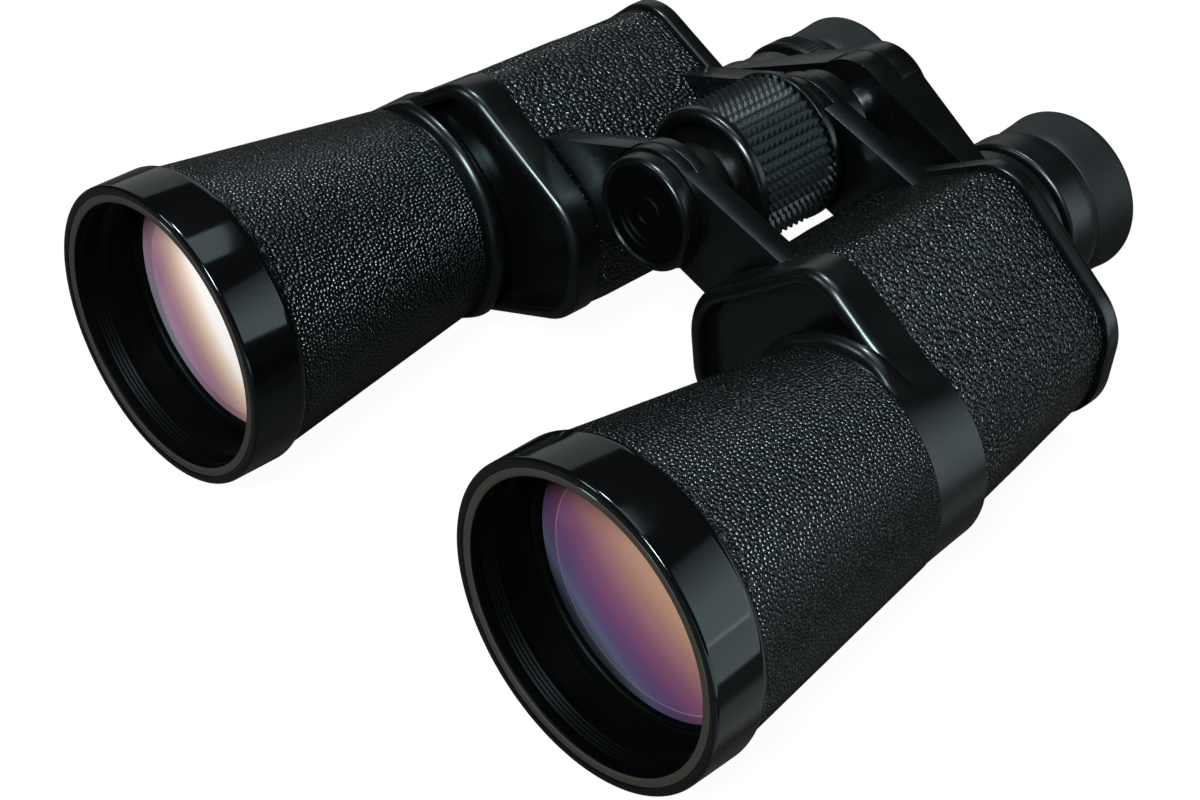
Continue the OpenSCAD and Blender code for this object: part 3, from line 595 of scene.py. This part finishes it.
def outline(y, inset):
    """Points evenly spaced round the housing at y: in each direction the outline is the furthest
    point of any lobe, moved in by the inset. Lobes move in a straight line from front to rear."""
    share = min(max((y - SHOULDER) / (REAR_Y - SHOULDER), 0), 1)
    lobes = FRONT_LOBES * (1 - share) + REAR_LOBES * share
    angle = np.linspace(-0.5 * math.pi, 1.5 * math.pi, 1440, endpoint=False)
    way = np.stack([np.cos(angle), np.sin(angle)], axis=1)
    reach = way @ lobes[:, :2].T + lobes[:, 2]
    furthest = reach.argmax(1)
    points = lobes[furthest, :2] + way * (lobes[furthest, 2] - inset)[:, None]
    step = np.linalg.norm(np.roll(points, -1, 0) - points, axis=1)
    run = np.concatenate([[0], np.cumsum(step)])
    loop = np.concatenate([points, points[:1]])
    even = np.linspace(0, run[-1], OUTLINE_POINTS, endpoint=False)
    return np.stack([np.interp(even, run, loop[:, 0]), np.interp(even, run, loop[:, 1])], axis=1)


def lofted(name, side, stations, finishes, closed=False, lean=0.0, tuck=None):
    """A skin through the housing's outline at each station, a y and an inset. The first and last
    outlines are closed with a flat face unless the stations join up in a ring. lean sets the
    shoulder back towards the hinge, and dies out at the end of the smooth band. tuck says how far
    a point is drawn in towards the objective axis, from its angle in degrees and its y."""
    sign = SIDES[side]
    rings = np.array([outline(y, inset) for y, inset in stations])
    depth = np.array([s[0] for s in stations])[:, None] * np.ones(OUTLINE_POINTS)
    fade = np.clip((BAND_END - depth) / (BAND_END - SHOULDER), 0, 1)
    if tuck:
        turn = (np.degrees(np.arctan2(rings[..., 1], rings[..., 0])) + 110) % 360 - 110
        reach = np.linalg.norm(rings, axis=-1)
        rings = rings * (1 - tuck(turn, depth) / reach)[..., None]
    depth = depth + lean * np.clip(-rings[..., 0], 0, None) * fade
    points = np.stack([
        sign * (OBJECTIVE_X + rings[..., 0] * MM), RIM + depth * MM, OBJECTIVE_Z + rings[..., 1] * MM
    ], axis=-1).reshape(-1, 3)
    length = np.linalg.norm(rings[0] - np.roll(rings[0], -1, 0), axis=1).sum() * MM
    around = np.tile(np.arange(OUTLINE_POINTS) / OUTLINE_POINTS * length, len(stations))
    faces = grid_faces(len(stations), OUTLINE_POINTS, closed)
    piece = finished(name, points, faces, finishes, around=around)
    if not closed:
        with opened(piece.data) as work:
            bmesh.ops.holes_fill(work, edges=work.edges, sides=0)
            bmesh.ops.recalc_face_normals(work, faces=work.faces)
        smooth(piece.data)
    return piece


def arc_stations(y, inset, radius, start, end, steps):
    """Stations round a quarter-round edge about the point (y, inset), angles in degrees from the
    front towards the inside."""
    angles = np.radians(np.linspace(start, end, steps))
    return [(y - radius * math.cos(a), inset + radius * math.sin(a)) for a in angles]


def shell(side):
    """The housing's skin: a flat pocket in the shoulder inside a rounded lip, a smooth band, and
    the thinner box that the leatherette covers, hollow and open to the rear. On the outer side and
    below, it is tucked in under the collar in front of the band's end."""
    skin_in, wall_in = 0.82, 1.9
    pocket = [(69.0, 3.8), (69.0, 3.4), (68.6, 3.15), (67.4, 3.05)]
    lip = arc_stations(66.1, 2.15, 0.9, 90, 0, 6) + arc_stations(67.3, 2.15, 2.1, 0, -90, 12)[1:]
    band = [(68.2, 0.03), (73.6, 0.0), (73.92, 0.03), (BAND_END, 0.12), (BAND_END + 0.01, skin_in)]
    box = [(REAR_Y, skin_in), (REAR_Y, wall_in), (71.0, wall_in)]

    def tuck(turn, y):
        share = np.clip((turn + 108) / 20, 0, 1) * np.clip((72 - turn) / 24, 0, 1)
        return 0.8 * share * np.clip((BAND_END - y) / (BAND_END - SHOULDER), 0, 1)

    return lofted(f"{side}_shell", side, pocket + lip + band + box, [casting_black], lean=0.06, tuck=tuck)


def collar(side):
    """The collar round the end of the tube. On the hinge side it is a half-round bead, between
    about 58 and 250 degrees of its turn. On the outer side and below it widens back to the band's
    end, where it meets the outline of the housing's first two lobes."""
    bead_y, bead_r = 65.2, 2.1
    steps = [(NECK_R, TUBE_END + 0.1 + 0.15 * k) for k in range(35)]
    corners = [
        (18.5, TUBE_END + 0.1), *steps, (NECK_R, 70), (NECK_R, 72), (NECK_R, BAND_END - 0.02),
        (20.4, BAND_END - 0.01), (18.5, 71)
    ]

    def swelling(r, y, angle):
        outward = angle if side == "left" else math.pi - angle
        turn = np.degrees(outward % (2 * math.pi))
        share = np.clip((turn - 58) / 30, 0, 1) * np.clip((250 - turn) / 35, 0, 1)
        share = share * share * (3 - 2 * share)
        way = np.stack([np.cos(outward), np.sin(outward)], axis=-1)
        reach = (way @ FRONT_LOBES[:2, :2].T + FRONT_LOBES[:2, 2]).max(-1)
        widened = np.clip((y - TUBE_END) / (BAND_END - TUBE_END), 0, 1) * (reach - NECK_R)
        bead = bead_r * np.clip(1 - ((y - bead_y) / bead_r) ** 2, 0, 1) ** 0.5
        return (share * bead + (1 - share) * widened) * (r > NECK_R - 0.1)

    return turned(f"{side}_collar", axis_of(f"{side}_front_ring"), corners, [casting_black],
                  waves=swelling, steps=2)


def casting(side):
    """The prism housing in one piece: its skin and the collar round the end of the tube."""
    return joined(f"{side}_casting", [shell(side), collar(side)])


def body_covering(side):
    """The leatherette round the housing, with its edges rolled in."""
    stations = [
        (BAND_END + 0.05, 0.8), (BAND_END + 0.06, 0.5), (BAND_END + 1, 0.4), (BAND_END + 3, 0.25),
        (BAND_END + 6, 0.1), (95, 0.05), (REAR_Y - 3, 0.1), (REAR_Y - 0.5, 0.2), (REAR_Y - 0.1, 0.35),
        (REAR_Y - 0.02, 0.8), (95, 0.8)
    ]
    return lofted(f"{side}_body_leather", side, stations, [body_leather], closed=True)


def cut_out(piece, cutter):
    """The piece with the cutter's form taken out of it."""
    bore = piece.modifiers.new("bore", "BOOLEAN")
    bore.operation = "DIFFERENCE"
    bore.solver = "EXACT"
    bore.object = cutter
    settle(piece)
    bpy.data.objects.remove(cutter)
    smooth(piece.data)
    return piece


def rear_cover(side):
    """The cover behind the prisms: a rounded rim, a shallow step inside it, and a bore for the
    eyepiece."""
    start, end = REAR_Y, COVER_END
    bore_r, bore_y, bore_end = 12.78, 110, 130
    stations = [
        (start + 0.02, 1.5), (start + 0.02, 0.3), (start + 0.06, -0.2), (start + 0.1, -0.68),
        (start + 0.3, -0.78), (start + 1.0, -0.8), (end - 1.6, -0.8),
        *arc_stations(end - 1.2, 0.4, 1.2, -90, -180, 8)[1:],
        (end, 1.4), (end - 0.1, 1.7), (end - 0.35, 1.9), (end - 0.4, 2.4)
    ]
    plate = lofted(f"{side}_cover", side, stations, [casting_black])
    through = [(0, bore_y), (bore_r, bore_y), (bore_r, bore_end), (0, bore_end)]
    return cut_out(plate, turned("bore", axis_of(f"{side}_eyecup"), through, [casting_black]))


for side in SIDES:
    barrel = f"{side}_barrel"
    placed(casting(side), barrel, f"{side}_housing")
    placed(body_covering(side), barrel, f"{side}_body_leatherette")
    placed(rear_cover(side), barrel, f"{side}_rear_cover")
    for arm in ("front_arm", "rear_arm"):
        placed(eased(f"{side}_{arm}", f"{side}_hinge_{arm}", casting_black, 0.75), barrel,
               f"{side}_{arm}")


# ---- eyepieces ----
OCULAR_END = along("left_ocular_tube")[1]
EYE_BODY, EYE_BODY_END = OCULAR_END - 13.18, OCULAR_END - 4.5
FLANGE_Y = OCULAR_END + 1.5
EYE_RING_Y, EYE_RING_END = along("left_eyepiece_ring")
EYE_RING_R = 16.9
CUP_Y, CUP_END = along("left_eyecup")
RIBS = 96


def guide(side, axis):
    """The plain tube on the cover that the eyepiece slides in."""
    start, end = along(f"{side}_eyepiece_guide")
    corners = [(11.26, start), (12.75, start), (12.75, end, 0.4), (11.26, end, 0.2)]
    return turned(f"{side}_guide", axis, corners, [tube_black])


def ocular(side, axis):
    """The sliding tube and the smooth body behind the bridge."""
    start, end = along(f"{side}_ocular_tube")
    bore, bore_end = 9.4, 137.0
    corners = [
        (bore, start), (11.2, start, 0.1), (11.2, EYE_BODY), (16.0, EYE_BODY, 0.5),
        (16.0, EYE_BODY_END - 0.9, 0.3), (15.3, EYE_BODY_END - 0.05, 0.4), (13.35, EYE_BODY_END),
        (13.35, end), (12.26, end), (12.26, bore_end), (bore, bore_end)
    ]
    return turned(f"{side}_ocular", axis, corners, [ocular_black])


def eye_ring_corners(start, play, land=()):
    """The ring in front of an eyecup: a narrow front edge, a plain land and a tapered rear, with a
    step in its bore. play widens the bore of a ring that turns, and land adds corners between the
    two ends of the land."""
    inner, step = 13.4 + play, 14.5 + play
    return [
        (inner, start + 0.3), (16.3, start, 0.3), (EYE_RING_R, start + 0.5, 0.4), *land,
        (EYE_RING_R, EYE_RING_END - 2.6, 0.8), (16.15, EYE_RING_END, 0.3), (step, EYE_RING_END),
        (step, FLANGE_Y - 0.1), (inner, FLANGE_Y - 0.1)
    ]


def plain_ring(axis):
    """The smooth ring of the left eyepiece."""
    return turned("left_eye_ring", axis, eye_ring_corners(EYE_RING_Y, 0.0), [ocular_black])


def ribbed_ring(axis):
    """The dioptre ring, with fine ribs along its land: r less 0.55 mm times the power 1.2 of a
    cosine wave that runs from 0 to 1, with RIBS waves to the turn."""
    start = along("dioptre_ring")[0]
    land = [(EYE_RING_R, y) for y in (start + 1.0, start + 1.1, EYE_RING_END - 2.9, EYE_RING_END - 2.8)]

    def ribs(r, y, angle):
        on_land = (r > EYE_RING_R - 0.05) & (y > start + 0.9) & (y < EYE_RING_END - 2.7)
        return -0.55 * on_land * (0.5 + 0.5 * np.cos(RIBS * angle)) ** 1.2

    return turned("right_dioptre_ring", axis, eye_ring_corners(start, 0.04, land), [ocular_black],
                  sides=8 * RIBS, waves=ribs, steps=4)


def eye_cell(side, axis):
    """The cell that holds the lens nearest the eye."""
    start, end = along(f"{side}_lens_carrier")
    seat = end - 5.1
    corners = [
        (8.6, start), (12.2, start), (12.2, FLANGE_Y), (14.45, FLANGE_Y), (14.45, end),
        (10.02, end, 0.4), (10.02, seat), (8.6, seat)
    ]
    return turned(f"{side}_eye_cell", axis, corners, [tube_black])


def eye_glass(side, axis):
    """The domed lens nearest the eye."""
    start = along(f"{side}_eye_lens")[0]
    edge = 9.99
    flat = [(0, start), (edge, start)]
    domed = dome(34, edge, start + 2.7, 1)
    return turned(f"{side}_eye_glass", axis, flat + domed[::-1], [eye_coating])


def eyecup(side, axis):
    """The rubber eyecup: a flared outside, a soft rolled rim and a bowl down to the lens."""
    flared = [(9.6, CUP_Y), (16.0, CUP_Y, 0.3), (16.35, CUP_Y + 1.6, 1.2), (16.75, CUP_END - 3.4, 2.0)]
    rim = [(17.0, CUP_END - 1.2, 1.0), (16.4, CUP_END, 0.7), (14.4, CUP_END, 0.8)]
    bowl = [
        (13.6, CUP_END - 1.4, 1.2), (12.6, CUP_Y + 3.2, 1.5), (11.6, CUP_Y + 1.9, 0.8),
        (9.6, CUP_Y + 1.5, 0.3)
    ]
    return turned(f"{side}_rubber_eyecup", axis, flared + rim + bowl, [eyecup_black])


for side in SIDES:
    eye_axis = axis_of(f"{side}_eyecup")
    carried = f"{side}_eyepiece"
    cell = "left_eyepiece" if side == "left" else "right_eye_cell"
    placed(guide(side, eye_axis), f"{side}_barrel", f"{side}_eyepiece_guide")
    placed(ocular(side, eye_axis), carried, f"{side}_ocular_tube")
    placed(eye_cell(side, eye_axis), cell, f"{side}_lens_carrier")
    placed(eye_glass(side, eye_axis), cell, f"{side}_eye_lens")
    placed(eyecup(side, eye_axis), cell, f"{side}_eyecup")
    placed(eased(f"{side}_bridge_arm", f"{side}_bridge", casting_black, 0.7), carried,
           f"{side}_bridge_arm")
placed(plain_ring(axis_of("left_eyecup")), "left_eyepiece", "left_eyepiece_ring")
placed(ribbed_ring(axis_of("right_eyecup")), "dioptre_ring", "dioptre_ring")


# ---- hinge and focusing ----
HINGE = axis_of("hinge_cap")
WHEEL_Y, WHEEL_END = along("focus_wheel")
WHEEL_R = radius_of("focus_wheel") / MM


def hinge_cap():
    """The round cap on the front of the hinge: a bevelled rim, a flat ring left bare, and a
    recess with turned steps."""
    start, end = along("hinge_cap")
    deep, raised, stepped, bare = start + 1.1, start + 0.75, start + 0.7, start + 0.32
    recess = [
        (0, deep), (2.0, deep, 0.1), (2.2, raised, 0.15), (3.4, raised, 0.15), (3.6, deep, 0.1),
        (5.6, deep, 0.1), (5.8, stepped, 0.15), (6.9, stepped, 0.1), (7.1, bare, 0.12), (9.6, bare, 0.1)
    ]
    rim = [
        (9.75, start + 0.5, 0.08), (9.95, start + 0.05, 0.15), (11.0, start, 0.5),
        (11.4, start + 0.7, 0.4), (11.4, end)
    ]
    inside = [(9.8, end), (9.8, start + 1.18), (0, start + 1.18)]
    return turned("hinge_front_cap", HINGE, recess + rim + inside, [casting_black, bore_black],
                  [range(len(recess))], steps=5)


def wheel_body():
    """The focus wheel under its grip: two rounded rims, the front one with a deep dish, and a
    wide groove in the bore for the spindle's pin."""
    start, end = WHEEL_Y, WHEEL_END
    bore, under_grip, groove = 6.05, 13.1, 8.1
    dish = [(bore, start + 3.0), (11.6, start + 3.0, 0.5), (12.2, start + 0.4, 0.5)]
    front_rim = [
        (12.9, start, 0.4), (14.2, start, 0.7), (WHEEL_R, start + 0.9, 0.5),
        (WHEEL_R, start + 2.35, 0.2), (under_grip, start + 2.4)
    ]
    rear_rim = [
        (under_grip, end - 2.4), (WHEEL_R, end - 2.35, 0.2), (WHEEL_R, end - 0.9, 0.5),
        (14.2, end, 0.7), (12.2, end, 0.3), (11.2, end - 0.3, 0.3), (bore, end - 0.3)
    ]
    inside = [(bore, end - 5.8), (groove, end - 5.8), (groove, end - 16.4), (bore, end - 16.4)]
    return turned("wheel_body", HINGE, dish + front_rim + rear_rim + inside, [wheel_black, tube_black],
                  [range(len(dish))])


def pyramid_grip():
    """The grip: a sleeve of four-sided points. Corners lie on the root circle at equal steps of y
    and angle, and a point stands in the middle of each four."""
    rows, around = 12, 44
    start, end = WHEEL_Y + 2.5, WHEEL_END - 2.5
    root, tip, inner = WHEEL_R - 1.35, WHEEL_R + 0.02, WHEEL_R - 1.9

    def circle(r, y, angle):
        return np.stack([
            HINGE[0] + r * MM * np.cos(angle), RIM + y * MM + 0 * angle, HINGE[1] + r * MM * np.sin(angle)
        ], axis=-1)

    step = 2 * math.pi / around
    turn = np.arange(around) * step
    height = np.linspace(start, end, rows + 1)
    corners = np.concatenate([circle(root, y, turn) for y in height])
    tips = np.concatenate([circle(tip, (a + b) / 2, turn + step / 2) for a, b in zip(height, height[1:])])
    sleeve = np.concatenate([circle(inner, start, turn), circle(inner, end, turn)])
    grid = grid_faces(rows + 1, around, rows_close=False)
    peak = (len(corners) + np.arange(len(tips)))[:, None]
    sides = np.concatenate([
        np.concatenate([grid[:, [k]], grid[:, [(k + 1) % 4]], peak], axis=1) for k in range(4)
    ])
    low = len(corners) + len(tips)
    here, there = np.arange(around), (np.arange(around) + 1) % around
    last = rows * around
    ends = np.concatenate([
        np.stack([here, there, low + there, low + here], axis=1),
        np.stack([last + here, last + there, low + around + there, low + around + here], axis=1),
        np.stack([low + here, low + there, low + around + there, low + around + here], axis=1)
    ])
    ends = np.concatenate([ends[:, [0, 1, 2]], ends[:, [0, 2, 3]]])
    points = np.concatenate([corners, tips, sleeve])
    return finished("wheel_point_grip", points, np.concatenate([sides, ends]), [grip_black], sharp=12)


def hinge_sleeve(name, node, outer, ease, finish):
    """A plain ring on the hinge tube, the length of a node."""
    start, end = along(node)
    bore = 6.02
    corners = [(bore, start), (outer, start, ease), (outer, end, ease), (bore, end)]
    return turned(name, HINGE, corners, [finish])


placed(hinge_cap(), "left_barrel", "hinge_cap")
placed(hinge_sleeve("wheel_sleeve", "wheel_spacer", 8.6, 0.2, tube_black), "left_barrel",
       "wheel_spacer")
placed(hinge_sleeve("rear_collar", "hinge_collar", 10.8, 0.8, casting_black), "left_barrel",
       "hinge_collar")
placed(wheel_body(), "focus_wheel", "focus_wheel")
placed(pyramid_grip(), "focus_wheel", "wheel_grip")
placed(eased("bridge_screw", "slotted_bridge_screw", dark_steel, 0.15), "left_eyepiece",
       "bridge_screw")
placed(eased("focus_spindle", "threaded_spindle", hinge_steel, 0), "left_eyepiece",
       "focus_spindle")
placed(eased("hinge_tube", "steel_hinge_tube", hinge_steel, 0), "left_barrel", "hinge_tube")


# ---- stage ----
# Painted reflection: the floor glows for glossy rays alone, faintly everywhere and brighter in a strip and
# a card on the right, standing in for white boards that are not there.
REFLECTED_CARD_X, REFLECTED_CARD_EDGE, REFLECTED_CARD_LIGHT = 0.158, 0.004, 1.3
REFLECTED_STRIP_X, REFLECTED_STRIP_END_X, REFLECTED_STRIP_EDGE, REFLECTED_STRIP_LIGHT = 0.092, 0.126, 0.008, 0.3
FLOOR_REFLECTED_GLOW = 0.02
FLOOR_LIGHT = 0.965
FLOOR_REACH = 4.0


def white_floor():
    """A dark matte floor that glows white for the camera, with the object's shadow left on it. In the
    gloss of the object it shows dark, with a painted reflection on the right: a fainter strip and a
    bright card glow for glossy rays alone, as if white boards lay there."""
    f = Finish("pale floor", (0.045, 0.045, 0.045), 0.9, Specular_IOR_Level=0.0, Emission_Color=WHITE)
    path = f.node("ShaderNodeLightPath").outputs
    out = f.node("ShaderNodeSeparateXYZ", {"Vector": f.place}).outputs["X"]
    # Painted reflection: a glowing card and strip that only glossy rays see.
    card = f.mapped(out, REFLECTED_CARD_X, REFLECTED_CARD_X + REFLECTED_CARD_EDGE, FLOOR_REFLECTED_GLOW, REFLECTED_CARD_LIGHT)
    strip = f.product(f.mapped(out, REFLECTED_STRIP_X, REFLECTED_STRIP_X + REFLECTED_STRIP_EDGE, 0, REFLECTED_STRIP_LIGHT),
                      f.mapped(out, REFLECTED_STRIP_END_X - REFLECTED_STRIP_EDGE, REFLECTED_STRIP_END_X, 1, 0))
    mirrored = f.product(path["Is Glossy Ray"], f.larger(card, strip))
    seen = f.larger(path["Is Camera Ray"], path["Is Transmission Ray"])
    f.give("Emission Strength", f.product(f.larger(seen, mirrored), FLOOR_LIGHT))
    return f.material


def floor():
    """A flat floor through the lowest points of the front rings and the eyecups, where the
    binoculars come to rest."""
    ring_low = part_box("left_front_ring")[0]
    cup_low, cup_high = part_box("left_eyecup")
    slope = (cup_low.z - ring_low.z) / (cup_high.y - ring_low.y)
    corners = FLOOR_REACH * np.array([(-1, -1), (1, -1), (1, 1), (-1, 1)])
    height = ring_low.z + (corners[:, 1] - ring_low.y) * slope - 0.2 * MM
    mesh = bpy.data.meshes.new("floor")
    mesh.from_pydata(np.column_stack([corners, height]).tolist(), [], [(0, 1, 2, 3)])
    mesh.materials.append(white_floor())
    linked("floor", mesh)


def softbox(name, place, aim, width, height, power, top=1.0):
    """A soft rectangular lamp at a place, turned to face the aim. From its middle up it grows
    dimmer, and its upper edge has the share top of the light of its lower half."""
    lamp = bpy.data.lights.new(name, "AREA")
    lamp.shape = "RECTANGLE"
    lamp.size, lamp.size_y = width, height
    lamp.energy = power
    lamp.use_nodes = True
    nodes, links = lamp.node_tree.nodes, lamp.node_tree.links
    split = nodes.new("ShaderNodeSeparateXYZ")
    links.new(nodes.new("ShaderNodeNewGeometry").outputs["Parametric"], split.inputs["Vector"])
    fade = nodes.new("ShaderNodeMapRange")
    fade.inputs["From Min"].default_value = 0.4
    fade.inputs["To Min"].default_value = 1.0
    fade.inputs["To Max"].default_value = top
    links.new(split.outputs["Y"], fade.inputs["Value"])
    links.new(fade.outputs["Result"], nodes["Emission"].inputs["Strength"])
    holder = linked(name, lamp)
    holder.location = place
    holder.rotation_euler = (Vector(aim) - Vector(place)).to_track_quat("-Z", "Y").to_euler()


def camera(place, target, roll, lens):
    """A camera at a place, looking at the target and turned about its own line of sight."""
    eye = linked("camera", bpy.data.cameras.new("camera"))
    eye.data.lens = lens
    eye.data.sensor_width = 36
    eye.data.clip_start = 0.01
    eye.data.clip_end = 50
    look = (Vector(target) - Vector(place)).to_track_quat("-Z", "Y").to_matrix().to_4x4()
    eye.matrix_world = Matrix.Translation(place) @ look @ Matrix.Rotation(math.radians(roll), 4, "Z")
    bpy.context.scene.camera = eye


def world(strength):
    """A dim even surround, white only to the camera and seen so through glass."""
    sky = bpy.data.worlds.new("surround")
    bpy.context.scene.world = sky
    sky.use_nodes = True
    tree = sky.node_tree
    path = tree.nodes.new("ShaderNodeLightPath")
    seen = tree.nodes.new("ShaderNodeMapRange")
    seen.inputs["To Min"].default_value = strength
    seen.inputs["To Max"].default_value = 1.0
    tree.links.new(path.outputs["Is Camera Ray"], seen.inputs["Value"])
    tree.links.new(seen.outputs["Result"], tree.nodes["Background"].inputs["Strength"])
    tree.nodes["Background"].inputs["Color"].default_value = WHITE


camera((0.27678, -0.286035, 0.29066), (0.01009, -0.031745, 0.02613), -0.24, 74.217)
floor()
world(0.015)
centre = (0, 0, 0.03)
softbox("right softbox", (0.92, 0.62, 0.53), (0, 0, 0.5), 0.8, 1.1, 4.8, 0.12)
softbox("left softbox", (-0.95, 0.62, 0.42), (0, 0, 0.4), 0.9, 0.8, 0.95)
softbox("overhead strip", (0.1, 0.14, 0.9), (0.1, 0.14, 0), 0.34, 0.5, 0.9)
softbox("key lamp", (-0.2, 0.1, 0.93), centre, 0.12, 0.12, 5)
softbox("front left lamp", (-0.46, -0.72, 0.72), centre, 0.18, 0.18, 2.2)
softbox("camera-side softbox", (0.42, -0.78, 0.85), centre, 0.26, 0.26, 19)
bpy.context.scene.view_settings.view_transform = "Standard"
